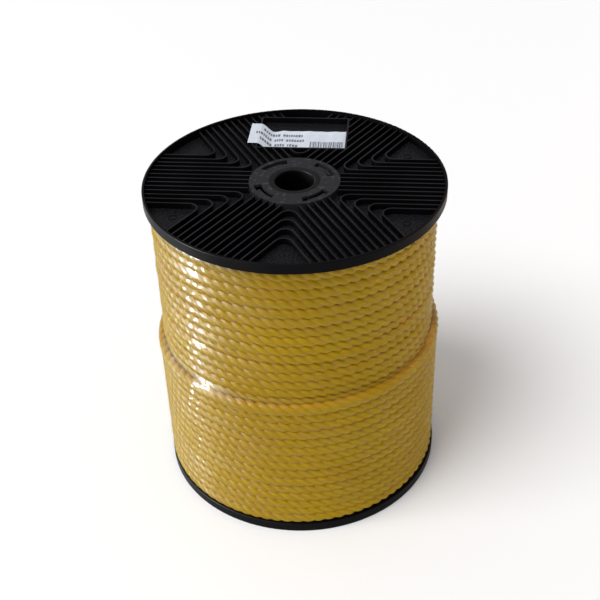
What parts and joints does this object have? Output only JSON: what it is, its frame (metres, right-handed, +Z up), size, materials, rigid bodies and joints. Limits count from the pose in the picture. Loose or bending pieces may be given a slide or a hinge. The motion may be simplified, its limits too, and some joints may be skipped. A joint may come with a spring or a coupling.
{
  "type": "rope reel",
  "caption": "Black plastic reel with ribbed flanges and a centre bore, wound with yellow laid rope under clear wrap film, with a paper label in the top flange's pocket.",
  "frame": {"origin": "centre of the lower rim's underside, on the reel's axis", "axes": "+Z up the reel's axis, +Y towards the label pocket"},
  "size_m": [0.23, 0.23, 0.263],
  "materials": {
    "black_plastic": "satin moulded",
    "grey_plastic": "satin, slightly scuffed",
    "rope": "three-strand laid polypropylene",
    "film": "clear stretch film",
    "label": "white, matt"
  },
  "bodies": {
    "reel": {"top_flange": "black_plastic", "bottom_flange": "black_plastic", "barrel": "black_plastic", "centre_tube": "grey_plastic", "rope_inner_layers": "rope", "rope_upper_turns": "rope", "rope_last_turn": "rope", "rope_lower_turns": "rope", "wrap_film": "film", "paper_label": "label"},
    "top_hook_1": {"top_hook_1": "grey_plastic"},
    "top_hook_2": {"top_hook_2": "grey_plastic"},
    "top_hook_3": {"top_hook_3": "grey_plastic"},
    "top_hook_4": {"top_hook_4": "grey_plastic"},
    "bottom_hook_1": {"bottom_hook_1": "grey_plastic"},
    "bottom_hook_2": {"bottom_hook_2": "grey_plastic"},
    "bottom_hook_3": {"bottom_hook_3": "grey_plastic"},
    "bottom_hook_4": {"bottom_hook_4": "grey_plastic"}
  },
  "joints": [
    {"name": "top_hook_1_flex", "type": "hinge", "parent": "reel", "child": "top_hook_1", "pos_m": [0.02154, 0.01866, 0.2333], "axis": [0.6547, -0.7559, 0], "range_deg": [0, 3.2], "stiffness_Nm_per_rad": 2},
    {"name": "top_hook_2_flex", "type": "hinge", "parent": "reel", "child": "top_hook_2", "pos_m": [-0.01866, 0.02154, 0.2333], "axis": [0.7559, 0.6547, 0], "range_deg": [0, 3.2], "stiffness_Nm_per_rad": 2},
    {"name": "top_hook_3_flex", "type": "hinge", "parent": "reel", "child": "top_hook_3", "pos_m": [-0.02154, -0.01866, 0.2333], "axis": [-0.6547, 0.7559, 0], "range_deg": [0, 3.2], "stiffness_Nm_per_rad": 2},
    {"name": "top_hook_4_flex", "type": "hinge", "parent": "reel", "child": "top_hook_4", "pos_m": [0.01866, -0.02154, 0.2333], "axis": [-0.7559, -0.6547, 0], "range_deg": [0, 3.2], "stiffness_Nm_per_rad": 2},
    {"name": "bottom_hook_1_flex", "type": "hinge", "parent": "reel", "child": "bottom_hook_1", "pos_m": [0.02154, 0.01866, 0.0297], "axis": [-0.6547, 0.7559, 0], "range_deg": [0, 3.2], "stiffness_Nm_per_rad": 2},
    {"name": "bottom_hook_2_flex", "type": "hinge", "parent": "reel", "child": "bottom_hook_2", "pos_m": [-0.01866, 0.02154, 0.0297], "axis": [-0.7559, -0.6547, 0], "range_deg": [0, 3.2], "stiffness_Nm_per_rad": 2},
    {"name": "bottom_hook_3_flex", "type": "hinge", "parent": "reel", "child": "bottom_hook_3", "pos_m": [-0.02154, -0.01866, 0.0297], "axis": [0.6547, -0.7559, 0], "range_deg": [0, 3.2], "stiffness_Nm_per_rad": 2},
    {"name": "bottom_hook_4_flex", "type": "hinge", "parent": "reel", "child": "bottom_hook_4", "pos_m": [0.01866, -0.02154, 0.0297], "axis": [0.7559, 0.6547, 0], "range_deg": [0, 3.2], "stiffness_Nm_per_rad": 2}
  ]
}
